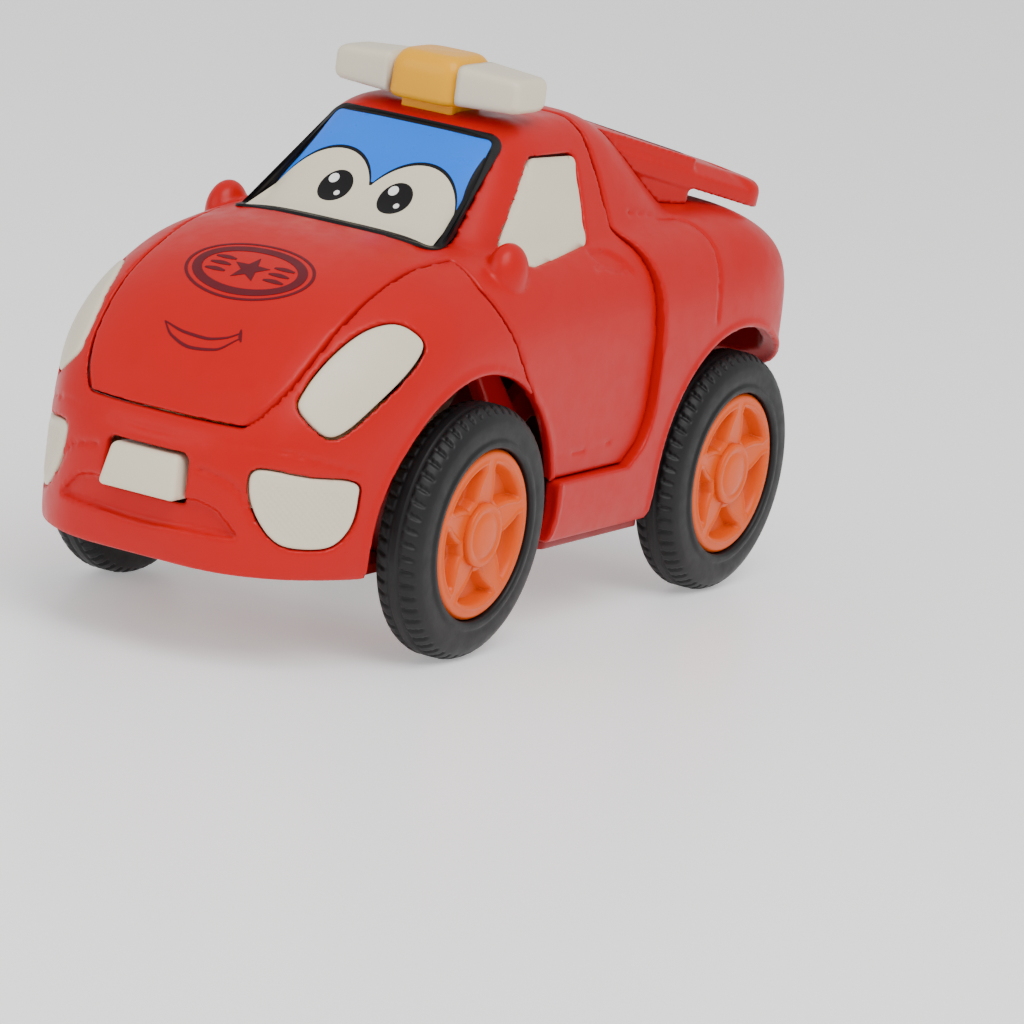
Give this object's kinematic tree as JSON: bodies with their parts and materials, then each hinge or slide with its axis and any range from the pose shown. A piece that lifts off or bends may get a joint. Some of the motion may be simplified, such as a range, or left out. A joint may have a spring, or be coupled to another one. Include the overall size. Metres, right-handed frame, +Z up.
{
  "type": "transforming robot toy car",
  "caption": "Moulded toy car whose front half lifts on hinged arms and tips up to show a robot, with a friction drive on the rear axle.",
  "frame": {"origin": "on the ground under the middle of the closed car", "axes": "+X to the car's front, +Y to its left, +Z up"},
  "size_m": [0.1313, 0.0626, 0.0782],
  "materials": {
    "gear_plastic": "moulded natural nylon",
    "grey_plastic": "moulded pale grey",
    "ivory": "moulded ivory",
    "orange": "moulded orange",
    "red_body": "soft-touch moulded red",
    "red_inner": "moulded dark red",
    "screen": "printed windscreen panel",
    "steel": "bright drawn wire and rod",
    "tyre": "moulded black rubber",
    "yellow": "moulded yellow"
  },
  "bodies": {
    "chassis": {"chassis_pan": "red_inner", "front_axle_block": "red_inner", "bottom_cover": "grey_plastic", "bottom_cover_screws": "steel", "rear_body": "red_body", "spoiler": "red_body", "lift_tower": "red_inner", "tower_pin": "steel", "lift_spring": "steel", "inner_bulkhead": "red_inner", "gearbox_left": "red_inner", "gearbox_right": "red_inner"},
    "rear_wheels": {"rear_axle": "steel", "rear_axle_gear": "gear_plastic", "rear_left_tyre": "tyre", "rear_left_rim": "orange", "rear_left_hub_cap": "orange", "rear_right_tyre": "tyre", "rear_right_rim": "orange", "rear_right_hub_cap": "orange"},
    "front_wheels": {"front_axle": "steel", "front_left_tyre": "tyre", "front_left_rim": "orange", "front_left_hub_cap": "orange", "front_right_tyre": "tyre", "front_right_rim": "orange", "front_right_hub_cap": "orange"},
    "idler": {"idler_gear": "gear_plastic"},
    "flywheel_shaft": {"flywheel_pinion": "gear_plastic", "flywheel": "steel"},
    "arm": {"lift_arm": "ivory"},
    "leg": {"leg_left": "ivory", "leg_right": "ivory", "knee_pin": "steel", "hip_pins": "steel"},
    "clip": {"front_clip": "red_body", "clip_carrier": "ivory", "headlight_left": "ivory", "headlight_right": "ivory", "fog_lamp_left": "ivory", "fog_lamp_right": "ivory", "latch_pin": "steel"},
    "button": {"impact_button": "ivory"},
    "latch": {"latch_hook": "ivory"},
    "cab": {"cab_shell": "red_body", "windscreen": "screen", "side_window_left": "ivory", "side_window_right": "ivory", "light_bar_base": "yellow", "light_lens_left": "ivory", "light_lens_right": "ivory", "robot_torso": "yellow", "robot_chest": "yellow", "robot_head": "yellow", "robot_spine": "yellow", "hinge_pins": "steel"}
  },
  "joints": [
    {"name": "front_wheel_spin", "type": "hinge", "parent": "chassis", "child": "front_wheels", "pos_m": [0.0246, 0, 0.0179], "axis": [0, -1, 0], "continuous": true},
    {"name": "rear_wheel_spin", "type": "hinge", "parent": "chassis", "child": "rear_wheels", "pos_m": [-0.0472, 0, 0.0179], "axis": [0, -1, 0], "continuous": true},
    {"name": "idler_spin", "type": "hinge", "parent": "chassis", "child": "idler", "pos_m": [-0.04052, 0, 0.02258], "axis": [0, -1, 0], "continuous": true},
    {"name": "flywheel_spin", "type": "hinge", "parent": "chassis", "child": "flywheel_shaft", "pos_m": [-0.03426, 0, 0.02783], "axis": [0, -1, 0], "continuous": true},
    {"name": "lift", "type": "hinge", "parent": "chassis", "child": "arm", "pos_m": [-0.0118, 0, 0.0489], "axis": [0, -1, 0], "range_deg": [0, 100]},
    {"name": "knee", "type": "hinge", "parent": "arm", "child": "leg", "pos_m": [0.01604, 0, 0.02202], "axis": [0, -1, 0], "range_deg": [-135, 0]},
    {"name": "hip", "type": "hinge", "parent": "leg", "child": "clip", "pos_m": [-0.00772, 0, 0.04662], "axis": [0, -1, 0], "range_deg": [0, 35]},
    {"name": "cab_tilt", "type": "hinge", "parent": "clip", "child": "cab", "pos_m": [0.005, 0, 0.027], "axis": [0, -1, 0], "range_deg": [0, 90]},
    {"name": "impact_press", "type": "slide", "parent": "clip", "child": "button", "axis": [-1, 0, 0], "range_m": [0, 0.0018], "stiffness_N_per_m": 150},
    {"name": "latch_turn", "type": "hinge", "parent": "clip", "child": "latch", "pos_m": [0.0452, 0, 0.0248], "axis": [0, -1, 0], "range_deg": [-12, 0]}
  ],
  "couplings": [
    {"joint": "idler_spin", "follows": "rear_wheel_spin", "ratio": -2},
    {"joint": "flywheel_spin", "follows": "rear_wheel_spin", "ratio": 4},
    {"joint": "knee", "follows": "lift", "ratio": -1.35},
    {"joint": "hip", "follows": "lift", "ratio": 0.35},
    {"joint": "cab_tilt", "follows": "lift", "ratio": 0.9},
    {"joint": "latch_turn", "follows": "impact_press", "rad_per_m": -111.51}
  ]
}
